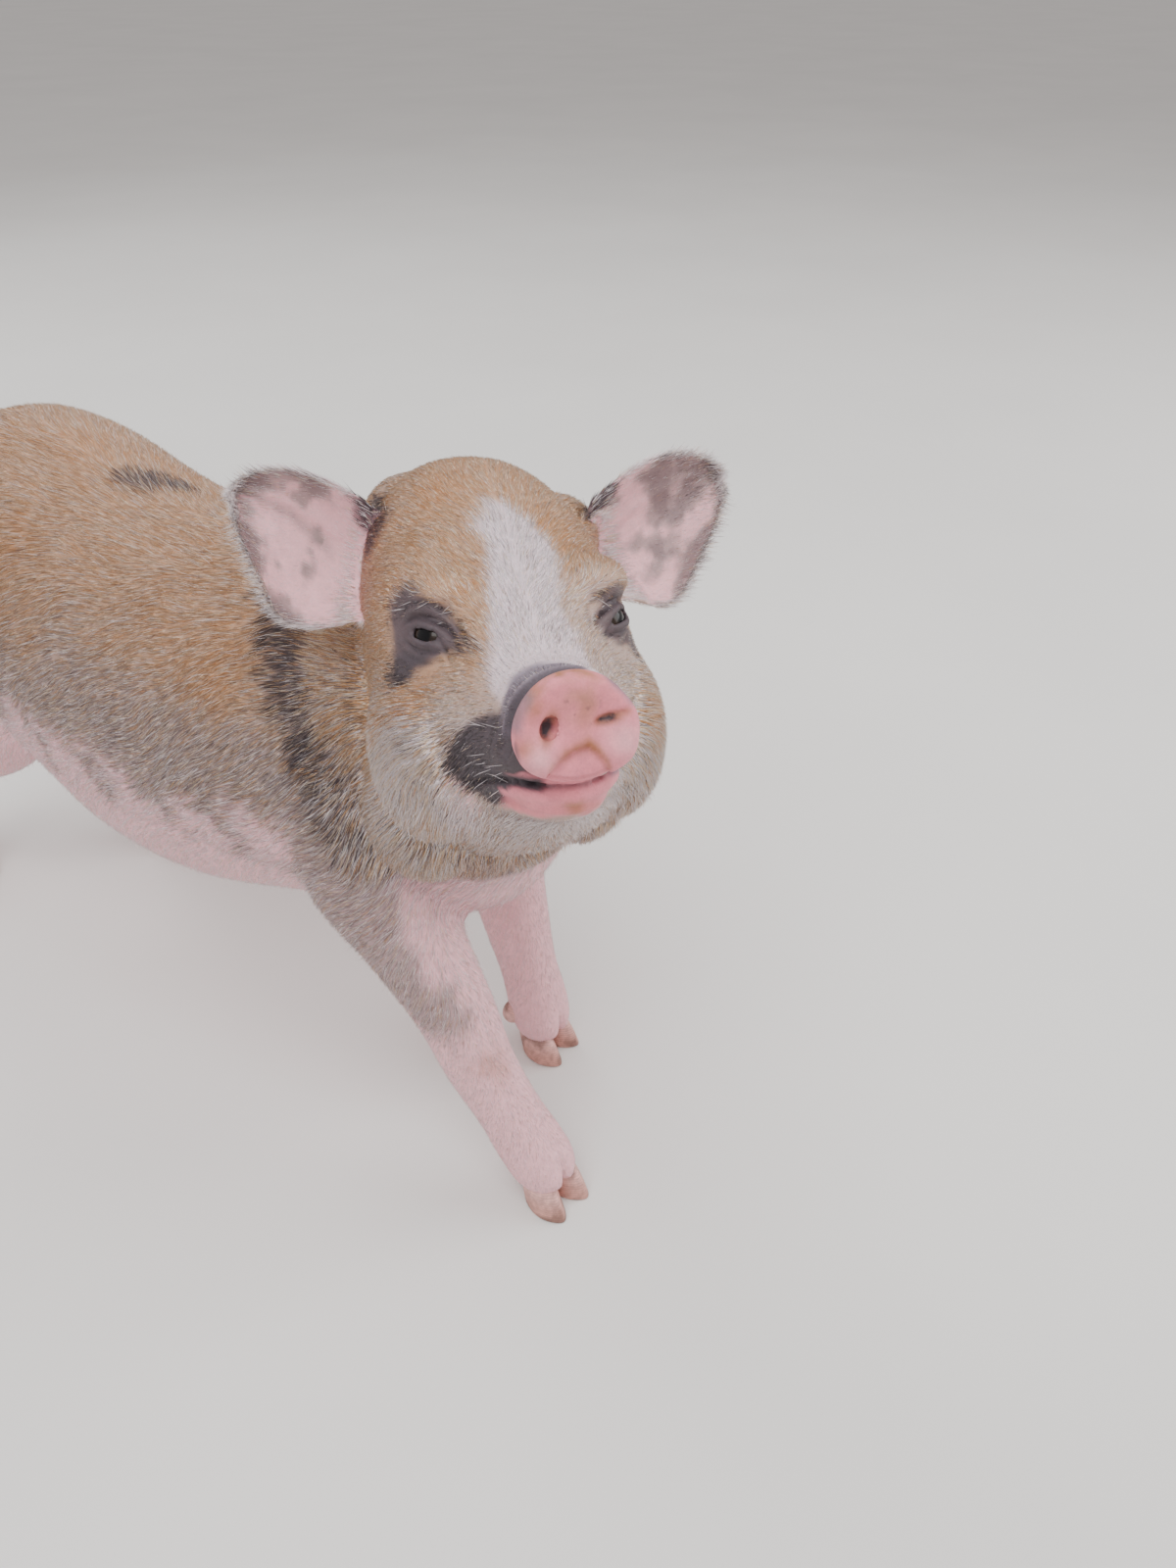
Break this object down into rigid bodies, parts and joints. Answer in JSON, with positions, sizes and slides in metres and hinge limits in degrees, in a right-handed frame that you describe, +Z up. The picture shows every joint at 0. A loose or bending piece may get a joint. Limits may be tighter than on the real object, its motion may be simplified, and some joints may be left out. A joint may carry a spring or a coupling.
{
  "type": "miniature pig piglet",
  "caption": "Life-size still model of a young spotted miniature pig, tan with black patches and a white blaze, standing with its head raised and turned to its right",
  "frame": {"origin": "on the floor, under the middle of the model's box", "axes": "+Y runs from head to rump, +X is the pig's left side, +Z is up"},
  "size_m": [0.1581, 0.4581, 0.2927],
  "materials": {
    "coat": "matte",
    "pink_skin": "matte",
    "horn": "satin",
    "eye": "gloss"
  },
  "bodies": {
    "root": {"claw_front_left_left": "horn", "claw_front_left_right": "horn", "claw_front_right_left": "horn", "claw_front_right_right": "horn", "claw_hind_left_left": "horn", "claw_hind_left_right": "horn", "claw_hind_right_left": "horn", "claw_hind_right_right": "horn", "dewclaw_front_left_left": "horn", "dewclaw_front_left_right": "horn", "dewclaw_front_right_left": "horn", "dewclaw_front_right_right": "horn", "dewclaw_hind_left_left": "horn", "dewclaw_hind_left_right": "horn", "dewclaw_hind_right_left": "horn", "dewclaw_hind_right_right": "horn", "ear_left": "pink_skin", "ear_right": "pink_skin", "eye_left": "eye", "eye_right": "eye", "head": "coat", "leg_front_left": "coat", "leg_front_right": "coat", "leg_hind_left": "coat", "leg_hind_right": "coat", "neck": "coat", "snout_disc": "pink_skin", "tail": "coat", "torso": "coat"}
  },
  "joints": []
}
